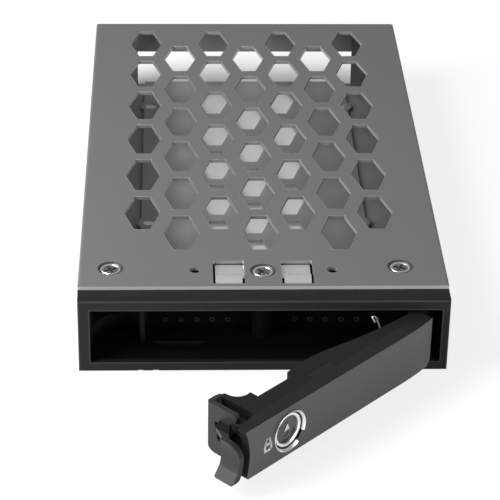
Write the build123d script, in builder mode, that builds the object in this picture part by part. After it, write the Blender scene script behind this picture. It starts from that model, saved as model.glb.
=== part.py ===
"""Front-loading carrier for a 2.5-inch drive, with a swing-out locking handle.

Millimetres, +Z up, +Y towards the connector end. The origin is the middle of the
four drive screw holes, on the seat that the drive rests on.
"""

from build123d import *
import os
from math import cos, radians, sin, sqrt

os.makedirs("parts", exist_ok=True)

# Overall size of the carrier
carrier_width = 97.4
carrier_height = 22.4
cover_length = 166.5
sheet = 1.0
fit_gap = 0.1
pin_gap = 0.05

# Drive seat: the standard screw pattern in the base of a 2.5-inch drive
hole_spacing_x = 61.72
hole_spacing_y = 76.6
hole_radius = 1.7
holes_to_front = 108.2
seat_width = 67.2
seat_rise = 1.0
seat_start = 24.0

# Honeycomb of long hexagons
hex_column_pitch = 10.73
hex_row_pitch = 22.2
hex_width = 9.95
hex_length = 18.4
hex_flat = 4.3
hex_rows = 6
hex_first_row = 39.3

# Sheet-metal folds
side_lip = 7.0
rear_lip = 8.8
mouth_width = 70.6
bend_radius = 0.8
corner_relief = 1.2

# Front bezel
bezel_inset = 0.2
block_gap = 0.2
bezel_reach = 6.0
bezel_back = 14.0
left_stile = 3.1
right_stile = 2.1
rail_height = 2.8
recess_depth = 12.0
recess_corner = 9.3
ledge_height = 4.3
notch_places = (-32.3, -28.3)
notch_width = 1.4
notch_rise = 0.4
edge_round = 0.5

# Cover screws and the two plain holes beside them
left_screw = 8.3
right_screw = 12.0
left_screw_back = 9.4
centre_screw_back = 8.0
right_screw_back = 9.9
screw_head = 2.85
screw_shank = 1.45
screw_length = 6.0
screw_sink = 0.2
dish_radius = 3.45
boss_radius = 2.5
boss_drop = 4.0
pillar_radius = 2.65
locator_places = ((-17.9, 8.3), (18.4, 8.3))
locator_radius = 1.45

# Keeper post for the latch, vents in the back wall
post_inset = 16.6
post_width = 1.2
post_front = 3.0
post_depth = 5.5
vent_radius = 0.7
vent_first = 9.0
vent_pitch = 4.2
vent_count = 5
vent_rise = 1.8

# Contact spring under the cover
window_width = 8.3
window_length = 11.6
window_start = 1.4
window_centre = 9.05
leaf_width = 7.1
leaf_sheet = 0.3
leaf_crown = 0.5

# Handle: it swings about a vertical pin and is drawn open
open_angle = 45.0
hinge_inset = 5.9
hinge_setback = 5.0
hinge_pin_radius = 1.25
barrel_radius = 3.3
handle_gap = 0.8
post_gap = 1.3
fascia_overhang = 7.1
fascia_right = 9.0
fascia_depth = 3.9
fascia_wall = 1.2
end_hollow = 1.4
end_round = 2.2
tab_inset = 21.5
tab_width = 8.3
tab_reach = 2.6
tab_sheet = 1.0
lever_back = 2.4
horn_back = 4.5
horn_width = 1.55
coil_gap = 5.6
coil_room = 1.2

# Latch rocker and its pin
latch_overhang = 2.7
latch_y = -4.6
latch_pin_radius = 0.8
latch_ear_radius = 1.8
ear_cap = 0.8
ear_drop = 2.2
upper_ear = 2.4
lower_ear = 4.3
arm_width = 1.0
lug_clearance = 0.3
latch_coil = 1.4
catch_overhang = 3.9
catch_sheet = 1.4
catch_back = 5.3
catch_lip = 1.3
lip_reach = 3.4
lip_round = 1.0
catch_front = 1.4
catch_slope = 1.2
catch_round = 3.0
lobe_low = 11.0
lobe_rise = 2.8
lobe_reach = 0.5
lobe_round = 1.5
trigger_height = 10.8
trigger_out = 5.8
trigger_sheet = 1.5
trigger_waist = 0.6
trigger_flare = 1.8
trigger_rear = -4.8
trigger_front = -10.9
trigger_round = 4.0
web_sheet = 1.3

# Cam lock
lock_inset = 8.4
ring_radius = 5.7
cup_radius = 5.05
cup_wall = 0.2
cup_depth = 1.6
ring_notch = 33.0
ring_notch_at = -39.5
housing_radius = 4.5
plug_radius = 3.7
plug_sunk = 1.2
ring_proud = 0.35
key_width = 1.3
key_height = 4.4
cam_length = 9.4
cam_width = 3.0
cam_sheet = 1.0
cam_screw_radius = 1.3

# Levels and places that follow from the sizes above
seat = 0.0
under = seat - sheet - seat_rise
floor_top = under + sheet
top = under + carrier_height
ceiling = top - sheet
front = -holes_to_front
rear = front + cover_length
face = front - bezel_reach
bezel_width = carrier_width - 2 * bezel_inset
block_width = carrier_width - 2 * (sheet + block_gap)
recess_low = under + rail_height
recess_high = ceiling - rail_height
recess_back = front + recess_depth
recess_left = -bezel_width / 2 + left_stile
recess_right = bezel_width / 2 - right_stile
handle_low = recess_low + handle_gap
handle_high = recess_high - handle_gap
handle_height = handle_high - handle_low
handle_mid = (handle_low + handle_high) / 2
post_x = post_inset - bezel_width / 2
hinge_x = bezel_width / 2 - hinge_inset
hinge_y = front + hinge_setback
handle_left = hinge_x - post_x - post_gap
fascia_left = handle_left + fascia_overhang
tab_left = handle_left - tab_inset
lock_x = lock_inset - handle_left
latch_x = -handle_left - latch_overhang
catch_left = handle_left + catch_overhang
screw_places = (
    (left_screw - bezel_width / 2, left_screw_back),
    (0.0, centre_screw_back),
    (bezel_width / 2 - right_screw, right_screw_back),
)
face_y = -(bezel_reach + hinge_setback)
seam_y = face_y + fascia_depth
cam_y = -lever_back + pin_gap + cam_sheet / 2 + fit_gap
swing = radians(open_angle)


def handle_plane(height):
    """Horizontal plane in the open handle's own axes: x to the hinge, -y outwards."""
    return Plane(
        origin=(hinge_x, hinge_y, height),
        x_dir=(cos(swing), sin(swing), 0),
        z_dir=(0, 0, 1),
    )


def front_plane(x, depth, height):
    """Upright plane in the handle's axes that looks outwards through its face."""
    across = (cos(swing), sin(swing), 0)
    outward = (sin(swing), -cos(swing), 0)
    return Plane(
        origin=(
            hinge_x + x * cos(swing) - depth * sin(swing),
            hinge_y + x * sin(swing) + depth * cos(swing),
            height,
        ),
        x_dir=across,
        z_dir=outward,
    )


def side_plane(x):
    """Upright plane across the handle: local x inwards, local y up, z to the hinge."""
    return Plane(
        origin=(hinge_x + x * cos(swing), hinge_y + x * sin(swing), 0),
        x_dir=(-sin(swing), cos(swing), 0),
        z_dir=(cos(swing), sin(swing), 0),
    )


def honeycomb(columns):
    """Centres of the hexagons in the given columns; every second column is staggered."""
    places = []
    for column in columns:
        stagger = hex_row_pitch / 2 if column % 2 == 0 else 0.0
        for row in range(hex_rows):
            y = front + hex_first_row - stagger + row * hex_row_pitch
            places.append((column * hex_column_pitch, y))
    return places


with BuildSketch() as hexagon:
    with BuildLine():
        Polyline(
            (-hex_width / 2, 0),
            (-hex_flat / 2, hex_length / 2),
            (hex_flat / 2, hex_length / 2),
            (hex_width / 2, 0),
            (hex_flat / 2, -hex_length / 2),
            (-hex_flat / 2, -hex_length / 2),
            close=True,
        )
    make_face()

# Cover plate: one folded sheet with side lips and a rear lip
with BuildPart() as cover_plate:
    middle_y = (front + rear) / 2
    with BuildSketch(Plane.XY.offset(ceiling)):
        with Locations((0, middle_y)):
            Rectangle(carrier_width, cover_length)
    extrude(amount=sheet)
    with BuildSketch(Plane.XY.offset(ceiling)):
        with Locations(
            ((sheet - carrier_width) / 2, middle_y), ((carrier_width - sheet) / 2, middle_y)
        ):
            Rectangle(sheet, cover_length - 2 * corner_relief)
    extrude(amount=-side_lip)
    with BuildSketch(Plane.XY.offset(ceiling)):
        with Locations((0, rear - sheet / 2)):
            Rectangle(carrier_width - 2 * (sheet + corner_relief), sheet)
    extrude(amount=-rear_lip)
    long_edges = (
        cover_plate.edges().filter_by(Axis.Y).group_by(Axis.Z)[-1].sort_by(Axis.X)
    )
    fillet([long_edges[0], long_edges[-1]], bend_radius)
    fillet(cover_plate.edges().filter_by(Axis.X).group_by(Axis.Z)[-1].sort_by(Axis.Y)[-1], bend_radius)
    with BuildSketch(Plane.XY.offset(ceiling)):
        with Locations(*honeycomb(range(-3, 4))):
            add(hexagon.sketch)
        with Locations(*[(x, front + y) for x, y in locator_places]):
            Circle(locator_radius)
        with Locations(
            *[(side * window_centre, front + window_start + window_length / 2) for side in (-1, 1)]
        ):
            RectangleRounded(window_width, window_length, edge_round)
    extrude(amount=sheet, mode=Mode.SUBTRACT)
    # Countersinks with a shallow dish round each head
    for x, y in screw_places:
        with BuildSketch(Plane.XZ.offset(-(front + y))) as sink:
            with BuildLine():
                Polyline(
                    (x, top),
                    (x + dish_radius, top),
                    (x + screw_head + fit_gap, top - screw_sink),
                    (x + screw_head + fit_gap - (sheet - screw_sink), ceiling),
                    (x, ceiling),
                    close=True,
                )
            make_face()
        revolve(axis=Axis((x, front + y, 0), (0, 0, 1)), mode=Mode.SUBTRACT)
cover_plate.part.label = "cover_plate"
export_step(cover_plate.part, "parts/cover_plate.step")

# Base tray: floor, side walls and rear corner returns of one folded sheet
tray_width = carrier_width - 2 * sheet - 2 * fit_gap
tray_rear = rear - sheet - fit_gap
wall_front = front + bezel_back + fit_gap
with BuildPart() as base_tray:
    with BuildSketch(Plane.XY.offset(under)):
        with Locations((0, (front + fit_gap + tray_rear) / 2)):
            Rectangle(tray_width, tray_rear - front - fit_gap)
    extrude(amount=sheet)
    with BuildSketch(Plane.XY.offset(under)):
        for side in (-1, 1):
            with Locations((side * (tray_width - sheet) / 2, (wall_front + tray_rear) / 2)):
                Rectangle(sheet, tray_rear - wall_front)
            return_width = (tray_width - mouth_width) / 2
            with Locations((side * (tray_width - return_width) / 2, tray_rear - sheet / 2)):
                Rectangle(return_width, sheet)
    extrude(amount=carrier_height - sheet)
    # Pressed seat for the drive, open underneath for the screw heads
    seat_y = (front + seat_start + tray_rear) / 2
    seat_length = tray_rear - front - seat_start
    with BuildSketch(Plane.XY.offset(floor_top)):
        with Locations((0, seat_y)):
            Rectangle(seat_width, seat_length)
    extrude(amount=seat_rise, taper=30)
    with BuildSketch(Plane.XY.offset(under)):
        with Locations((0, seat_y + sheet)):
            Rectangle(seat_width - 2 * sheet, seat_length)
    extrude(amount=sheet, mode=Mode.SUBTRACT)
    with BuildSketch(Plane.XY.offset(under)):
        with Locations(*honeycomb(range(-1, 2))):
            add(hexagon.sketch)
        with Locations((0, front + screw_places[1][1])):
            Circle(screw_head + fit_gap)
    extrude(amount=carrier_height, mode=Mode.SUBTRACT)
    # Drive screw holes, countersunk from below
    with Locations(Plane(origin=(0, 0, -sheet), z_dir=(0, 0, -1))):
        with GridLocations(hole_spacing_x, hole_spacing_y, 2, 2):
            CounterSinkHole(hole_radius, hole_radius + 0.5, sheet)
base_tray.part.label = "base_tray"
export_step(base_tray.part, "parts/base_tray.step")

# Front bezel: moulded frame with the recess that takes the handle
with BuildPart() as front_bezel:
    with BuildSketch(Plane.XY.offset(under)):
        with Locations((0, (face + front) / 2)):
            Rectangle(bezel_width, bezel_reach)
    extrude(amount=ceiling - under)
    fillet(front_bezel.faces().sort_by(Axis.Y)[0].edges(), edge_round)
    with BuildSketch(Plane.XY.offset(floor_top)):
        with Locations((0, front + bezel_back / 2)):
            Rectangle(block_width, bezel_back)
    extrude(amount=ceiling - floor_top)
    with BuildSketch(Plane.XY.offset(recess_low)) as recess_plan:
        with Locations(((recess_left + recess_right) / 2, (face + recess_back) / 2)):
            Rectangle(recess_right - recess_left, recess_back - face)
        back_corners = recess_plan.vertices().group_by(Axis.Y)[-1].sort_by(Axis.X)
        fillet(back_corners[0], recess_corner)
        fillet(recess_plan.vertices().group_by(Axis.Y)[-1].sort_by(Axis.X)[-1], right_stile)
    extrude(amount=recess_high - recess_low, mode=Mode.SUBTRACT)
    # Above its ledge the left back corner of the recess is square
    with BuildSketch(Plane.XY.offset(recess_low + ledge_height)):
        with Locations((recess_left + recess_corner / 2, recess_back - recess_corner / 2)):
            Rectangle(recess_corner, recess_corner)
    extrude(amount=recess_high - recess_low - ledge_height, mode=Mode.SUBTRACT)
    # Two small moulding notches in the lower front edge
    with BuildSketch(Plane.XZ.offset(-face)):
        with Locations(*[(x, under) for x in notch_places]):
            Rectangle(notch_width, 2 * notch_rise)
    extrude(amount=-bezel_reach / 2, mode=Mode.SUBTRACT)
    # Keeper post, centre pillar, ceiling bosses and the bosses round the hinge pin
    with BuildSketch(Plane.XY.offset(recess_low)):
        with Locations((post_x, front + post_front + post_depth / 2)):
            Rectangle(post_width, post_depth)
        with Locations((screw_places[1][0], front + screw_places[1][1])):
            Circle(pillar_radius)
    extrude(amount=recess_high - recess_low)
    with BuildSketch(Plane.XY.offset(recess_high - boss_drop)):
        for x, y in (screw_places[0], screw_places[2]):
            with Locations((x, front + y)):
                Circle(boss_radius)
    extrude(amount=boss_drop)
    for level, way in ((recess_low, 1), (recess_high, -1)):
        with BuildSketch(Plane.XY.offset(level)):
            with Locations((hinge_x, hinge_y)):
                Circle(2 * hinge_pin_radius)
        extrude(amount=way * (handle_low - recess_low - fit_gap))
    with Locations((hinge_x, hinge_y, floor_top)):
        Cylinder(
            hinge_pin_radius + pin_gap,
            ceiling - floor_top,
            align=(Align.CENTER, Align.CENTER, Align.MIN),
            mode=Mode.SUBTRACT,
        )
    # Screw holes, and the pocket that the contact spring lies in
    for x, y in screw_places:
        with BuildSketch(Plane.XZ.offset(-(front + y))) as pilot:
            cone = screw_head + fit_gap - (sheet - screw_sink)
            with BuildLine():
                Polyline(
                    (x, ceiling),
                    (x + cone, ceiling),
                    (x + screw_shank + pin_gap, ceiling - (cone - screw_shank - pin_gap)),
                    (x + screw_shank + pin_gap, top - screw_length - 1),
                    (x, top - screw_length - 1),
                    close=True,
                )
            make_face()
        revolve(axis=Axis((x, front + y, 0), (0, 0, 1)), mode=Mode.SUBTRACT)
    with BuildSketch(Plane.XY.offset(ceiling)):
        with Locations(*[(x, front + y) for x, y in locator_places]):
            Circle(locator_radius)
    extrude(amount=-1.5, mode=Mode.SUBTRACT)
    with BuildSketch(Plane.XY.offset(ceiling)):
        with Locations((0, front + window_start + window_length / 2)):
            Rectangle(2 * window_centre + window_width + 1, window_length + 1)
            Rectangle(2 * window_centre - leaf_width - 1, window_length + 1, mode=Mode.SUBTRACT)
    extrude(amount=-1.6, mode=Mode.SUBTRACT)
    with BuildSketch(Plane.XY.offset(ceiling)):
        with Locations((0, front + window_start + window_length / 2)):
            Rectangle(2 * window_centre - leaf_width - 1, window_length + 1)
    extrude(amount=-(leaf_sheet + pin_gap), mode=Mode.SUBTRACT)
    # Vents in the back wall
    with BuildSketch(Plane.XZ.offset(-recess_back)):
        for side in (-1, 1):
            for step in range(vent_count):
                with Locations((side * (vent_first + step * vent_pitch), recess_low + vent_rise)):
                    RegularPolygon(vent_radius, 8)
    extrude(amount=-(bezel_back - recess_depth), mode=Mode.SUBTRACT)
    # Slot in the recess floor for the lock's cam
    with BuildSketch(Plane.XY.offset(floor_top)):
        with Locations((hinge_x + lock_x, hinge_y + cam_y)):
            Rectangle(1.5 * cam_length, cam_sheet + 1.0)
    extrude(amount=recess_low - floor_top, mode=Mode.SUBTRACT)
    # Pilot for the floor screw
    with Locations((0, front + screw_places[1][1], floor_top)):
        Cylinder(
            screw_shank + pin_gap,
            screw_length + 1,
            align=(Align.CENTER, Align.CENTER, Align.MIN),
            mode=Mode.SUBTRACT,
        )
front_bezel.part.label = "front_bezel"
export_step(front_bezel.part, "parts/front_bezel.step")

# Three countersunk screws that hold the cover to the bezel
with BuildPart() as cover_screws:
    for x, y in screw_places:
        with BuildSketch(Plane.XZ.offset(-(front + y))):
            with BuildLine():
                Polyline(
                    (x, top - screw_sink),
                    (x + screw_head, top - screw_sink),
                    (x + screw_shank, top - screw_sink - screw_head + screw_shank),
                    (x + screw_shank, top - screw_length),
                    (x, top - screw_length),
                    close=True,
                )
            make_face()
        revolve(axis=Axis((x, front + y, 0), (0, 0, 1)))
cover_screws.part.label = "cover_screws"
export_step(cover_screws.part, "parts/cover_screws.step")

# Screw that holds the tray to the bezel's centre pillar from below
with BuildPart() as floor_screw:
    with Locations((0, front + screw_places[1][1], under)):
        Cylinder(screw_head, sheet, align=(Align.CENTER, Align.CENTER, Align.MIN))
        Cylinder(
            screw_shank, screw_length, align=(Align.CENTER, Align.CENTER, Align.MIN)
        )
floor_screw.part.label = "floor_screw"
export_step(floor_screw.part, "parts/floor_screw.step")

# Contact spring: a strip under the centre screw with two fingers through the windows
with BuildPart() as contact_spring:
    leaf_planes = [
        Plane.YZ.offset(side * window_centre - leaf_width / 2) for side in (-1, 1)
    ]
    with BuildSketch(*leaf_planes):
        with BuildLine():
            crown_front = front + window_start + 0.3
            crown_back = crown_front + 5.4
            crown_top = (crown_front + crown_back) / 2
            low = ceiling - 1.0
            heel = front + window_start + window_length - 0.4
            ThreePointArc(
                (crown_front, low), (crown_top, top + leaf_crown), (crown_back, ceiling)
            )
            Polyline(
                (crown_back, ceiling),
                (heel, ceiling),
                (heel, ceiling - leaf_sheet),
                (crown_back - leaf_sheet, ceiling - leaf_sheet),
            )
            ThreePointArc(
                (crown_back - leaf_sheet, ceiling - leaf_sheet),
                (crown_top, top + leaf_crown - leaf_sheet),
                (crown_front + leaf_sheet, low),
            )
            Line((crown_front + leaf_sheet, low), (crown_front, low))
        make_face()
    extrude(amount=leaf_width)
    with BuildSketch(Plane.XY.offset(ceiling)):
        with Locations((0, front + screw_places[1][1] + 1)):
            Rectangle(2 * window_centre, 2 * screw_head + 1)
        with Locations((0, front + screw_places[1][1])):
            Circle(screw_head - sheet / 2 + fit_gap, mode=Mode.SUBTRACT)
    extrude(amount=-leaf_sheet)
contact_spring.part.label = "contact_spring"
export_step(contact_spring.part, "parts/contact_spring.step")

# Hinge pin between the floor and the cover
with BuildPart() as hinge_pin:
    with Locations((hinge_x, hinge_y, floor_top)):
        Cylinder(
            hinge_pin_radius, ceiling - floor_top, align=(Align.CENTER, Align.CENTER, Align.MIN)
        )
hinge_pin.part.label = "hinge_pin"
export_step(hinge_pin.part, "parts/hinge_pin.step")

# Torsion spring on the hinge pin, its long leg hooked inside the recess
coil_inner = hinge_pin_radius + 0.2
wire = 0.8
leg_length = 13.4
leg_drift = 1.0
hook_drop = 2.6
hook_lean = 0.8
with BuildPart() as handle_spring:
    with BuildSketch(Plane.XY.offset(handle_mid - coil_gap / 2 + 0.3)):
        with Locations((hinge_x, hinge_y)):
            Circle(coil_inner + wire)
            Circle(coil_inner, mode=Mode.SUBTRACT)
    extrude(amount=coil_gap - 0.6)
    with BuildLine() as leg:
        Polyline(
            (hinge_x, hinge_y + coil_inner + wire / 2, handle_mid),
            (hinge_x - leg_length, hinge_y - leg_drift, handle_mid),
            (hinge_x - leg_length + hook_lean, hinge_y - leg_drift, handle_mid - hook_drop),
            (hinge_x - leg_length + 2 * hook_lean, hinge_y - leg_drift, handle_mid - hook_drop),
        )
    with BuildSketch(Plane(origin=leg.line @ 0, z_dir=leg.line % 0)):
        RegularPolygon(wire / 2, 12)
    sweep(path=leg.line, transition=Transition.RIGHT)
handle_spring.part.label = "handle_spring"
export_step(handle_spring.part, "parts/handle_spring.step")

# Lever: the moulded core of the handle with its barrel, horn and latch lug
with BuildPart() as handle_lever:
    with BuildSketch(handle_plane(handle_low)):
        with BuildLine():
            barrel_side = barrel_radius / sqrt(2)
            horn_side = horn_back - horn_width / 2
            Line((-handle_left, seam_y), (-handle_left, horn_side))
            ThreePointArc(
                (-handle_left, horn_side),
                (-handle_left + horn_width / 2, horn_back),
                (-handle_left + horn_width, horn_side),
            )
            ThreePointArc(
                (-handle_left + horn_width, horn_side),
                (-handle_left + horn_width + 1.0, 1.1),
                (6.2 - handle_left, 0.2),
            )
            Polyline(
                (6.2 - handle_left, 0.2),
                (6.2 - handle_left, -lever_back),
                (18.3 - handle_left, -lever_back),
                (19.0 - handle_left, -0.4),
            )
            ThreePointArc((19.0 - handle_left, -0.4), (-45.0, 0), (-35.6, -1.5))
            ThreePointArc((-35.6, -1.5), (-22.3, -3.6), (-12, -4.4))
            Polyline(
                (-12, -4.4),
                (-barrel_radius, 0),
                (0, 0),
                (barrel_side, -barrel_side),
                (-fascia_right + fit_gap, seam_y),
                (-handle_left, seam_y),
            )
        make_face()
        Circle(barrel_radius)
    extrude(amount=handle_height)
    # Tongue inside the fascia, and the seats of the fascia's two tabs
    with BuildSketch(handle_plane(handle_low + fascia_wall + fit_gap)):
        with Locations((-(handle_left + 20) / 2, seam_y - (fascia_depth - fascia_wall - fit_gap) / 2)):
            Rectangle(handle_left - 20 - 2 * fascia_wall, fascia_depth - fascia_wall - fit_gap)
    extrude(amount=handle_height - 2 * (fascia_wall + fit_gap))
    for level in (handle_low, handle_high - tab_sheet - fit_gap):
        with BuildSketch(handle_plane(level)):
            with Locations((-tab_left + tab_width / 2, seam_y + tab_reach / 2)):
                Rectangle(tab_width + 2 * fit_gap, tab_reach + 2 * fit_gap)
        extrude(amount=tab_sheet + fit_gap, mode=Mode.SUBTRACT)
    # Lug for the latch pin
    lug_low = handle_low + lower_ear + lug_clearance
    lug_top = handle_high - ear_drop - upper_ear - lug_clearance - latch_coil
    lug_height = lug_top - lug_low
    with BuildSketch(handle_plane(lug_low)):
        with Locations((latch_x, latch_y)):
            Circle(latch_ear_radius)
        with Locations(((latch_x - handle_left) / 2, latch_y)):
            Rectangle(-latch_x - handle_left, 2 * latch_ear_radius)
    extrude(amount=lug_height)
    with Locations(handle_plane(handle_low) * Location((latch_x, latch_y, 0))):
        Cylinder(latch_pin_radius + 0.01, 2 * handle_height, mode=Mode.SUBTRACT)
    # Pockets in the back, bore of the lock, bore of the hinge and room for its spring
    with BuildSketch(front_plane(-34, 1.0, handle_mid)):
        with GridLocations(9.4, 1, 4, 1):
            Rectangle(8.0, handle_height - 3.2)
    extrude(amount=1.0 - seam_y - 1.5, mode=Mode.SUBTRACT)
    with BuildSketch(front_plane(lock_x, 1.0, handle_mid)):
        Circle(housing_radius + pin_gap)
    extrude(amount=1.0 - face_y, mode=Mode.SUBTRACT)
    with BuildSketch(front_plane(lock_x, face_y, handle_mid)):
        Circle(cup_radius + pin_gap)
    extrude(amount=-cup_depth - pin_gap, mode=Mode.SUBTRACT)
    with Locations((hinge_x, hinge_y, handle_mid)):
        Cylinder(hinge_pin_radius + pin_gap, handle_height, mode=Mode.SUBTRACT)
        Cylinder(barrel_radius + coil_room, coil_gap, mode=Mode.SUBTRACT)
handle_lever.part.label = "handle_lever"
export_step(handle_lever.part, "parts/handle_lever.step")

# Fascia: the thin front of the handle, hollow behind, snapped on with two tabs
with BuildPart() as handle_fascia:
    with BuildSketch(handle_plane(handle_low)):
        with BuildLine():
            Polyline(
                (-fascia_right, face_y + 0.8),
                (-fascia_right, seam_y),
                (-handle_left - 0.7, seam_y),
                (-fascia_left, face_y + 2.5),
                (-fascia_left, face_y),
                (-fascia_right - 11, face_y),
            )
            ThreePointArc(
                (-fascia_right - 11, face_y),
                (-fascia_right - 5.5, face_y + 0.2),
                (-fascia_right, face_y + 0.8),
            )
        make_face()
    extrude(amount=handle_height)
    with BuildSketch(handle_plane(handle_low + fascia_wall)):
        with Locations((-(handle_left + 20) / 2, seam_y - (fascia_depth - fascia_wall) / 2)):
            Rectangle(handle_left - 20 - 2 * fascia_wall + 2 * fit_gap, fascia_depth - fascia_wall)
    extrude(amount=handle_height - 2 * fascia_wall, mode=Mode.SUBTRACT)
    for level in (handle_low, handle_high - tab_sheet):
        with BuildSketch(handle_plane(level)):
            with Locations((-tab_left + tab_width / 2, seam_y + (tab_reach - 0.5) / 2)):
                Rectangle(tab_width, tab_reach + 0.5)
        extrude(amount=tab_sheet)
    with BuildSketch(front_plane(lock_x, seam_y, handle_mid)):
        Circle(cup_radius + pin_gap)
    extrude(amount=fascia_depth, mode=Mode.SUBTRACT)
    # Hollow left end for the fingertip
    with BuildSketch(front_plane(-fascia_left, seam_y, handle_mid)):
        with BuildLine():
            foot = -handle_height / 2
            heel = end_hollow / 3
            ThreePointArc((-fit_gap, -foot), (end_hollow, foot / 5), (heel, foot + 0.6))
            ThreePointArc((heel, foot + 0.6), (heel + 0.22, foot + 0.22), (heel + 0.6, foot))
            Polyline((heel + 0.6, foot), (-1, foot), (-1, -foot), (-fit_gap, -foot))
        make_face()
    extrude(amount=fascia_depth, mode=Mode.SUBTRACT)
    # Rounded lower corner at the hinge end
    with BuildSketch(front_plane(-fascia_right, seam_y, handle_low)):
        with BuildLine():
            bulge = end_round * (1 - 1 / sqrt(2))
            ThreePointArc((0, end_round), (-bulge, bulge), (-end_round, 0))
            Polyline((-end_round, 0), (-end_round, -1), (1, -1), (1, end_round), (0, end_round))
        make_face()
    extrude(amount=fascia_depth, mode=Mode.SUBTRACT)
handle_fascia.part.label = "handle_fascia"
export_step(handle_fascia.part, "parts/handle_fascia.step")

# Lock: split ring with its cup, housing, turning plug, cam and its screw
with BuildPart() as lock_ring:
    with BuildSketch(front_plane(lock_x, face_y, handle_mid)):
        Circle(ring_radius)
        Circle(cup_radius - cup_wall, mode=Mode.SUBTRACT)
        with Locations(Rotation(0, 0, ring_notch_at)):
            with Locations((ring_radius, 0)):
                notch_height = 2 * ring_radius * sin(radians(ring_notch / 2))
                Rectangle(ring_radius, notch_height, mode=Mode.SUBTRACT)
    extrude(amount=ring_proud)
    with BuildSketch(front_plane(lock_x, face_y, handle_mid)):
        Circle(cup_radius)
        Circle(cup_radius - cup_wall, mode=Mode.SUBTRACT)
    extrude(amount=-cup_depth)
lock_ring.part.label = "lock_ring"
export_step(lock_ring.part, "parts/lock_ring.step")

with BuildPart() as lock_housing:
    with BuildSketch(front_plane(lock_x, -lever_back, handle_mid)):
        Circle(housing_radius)
        Circle(plug_radius + pin_gap, mode=Mode.SUBTRACT)
    extrude(amount=-lever_back - face_y + ring_proud)
lock_housing.part.label = "lock_housing"
export_step(lock_housing.part, "parts/lock_housing.step")

with BuildPart() as lock_plug:
    with BuildSketch(front_plane(lock_x, -lever_back, handle_mid)):
        Circle(plug_radius)
    extrude(amount=-lever_back - face_y - plug_sunk)
    with BuildSketch(front_plane(lock_x, -lever_back, handle_mid)):
        Rectangle(cam_screw_radius + 0.8, cam_screw_radius + 0.8)
    extrude(amount=-(cam_sheet + 2 * fit_gap))
    with BuildSketch(front_plane(lock_x, face_y, handle_mid)):
        Rectangle(key_width, key_height)
    extrude(amount=-4, mode=Mode.SUBTRACT)
lock_plug.part.label = "lock_plug"
export_step(lock_plug.part, "parts/lock_plug.step")

with BuildPart() as lock_cam:
    with BuildSketch(front_plane(lock_x, cam_y + cam_sheet / 2, handle_mid)):
        Circle(2.1)
        with Locations((cam_length / 2 - cam_width / 4, 0)):
            Rectangle(cam_length - cam_width / 2, cam_width)
        with Locations((cam_length - cam_width / 2, 0)):
            Circle(cam_width / 2)
        Rectangle(cam_screw_radius + 0.9, cam_screw_radius + 0.9, mode=Mode.SUBTRACT)
    extrude(amount=cam_sheet)
lock_cam.part.label = "lock_cam"
export_step(lock_cam.part, "parts/lock_cam.step")

with BuildPart() as cam_screw:
    with BuildSketch(front_plane(lock_x, 0.1 - lever_back + cam_sheet + 2 * fit_gap, handle_mid)):
        Circle(cam_screw_radius + 0.6)
    extrude(amount=-0.8)
cam_screw.part.label = "cam_screw"
export_step(cam_screw.part, "parts/cam_screw.step")

# Latch: pin, small torsion spring and the rocker with its trigger and catch
with BuildPart() as latch_pin:
    with BuildSketch(handle_plane(handle_low + ear_cap)):
        with Locations((latch_x, latch_y)):
            Circle(latch_pin_radius)
    extrude(amount=handle_height - ear_drop - 2 * ear_cap - fit_gap)
latch_pin.part.label = "latch_pin"
export_step(latch_pin.part, "parts/latch_pin.step")

with BuildPart() as latch_spring:
    with BuildSketch(handle_plane(lug_low + lug_height + 0.1)):
        with Locations((latch_x, latch_y)):
            Circle(latch_ear_radius - 0.1)
            Circle(latch_pin_radius + 0.2, mode=Mode.SUBTRACT)
    extrude(amount=latch_coil - fit_gap)
latch_spring.part.label = "latch_spring"
export_step(latch_spring.part, "parts/latch_spring.step")

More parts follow.
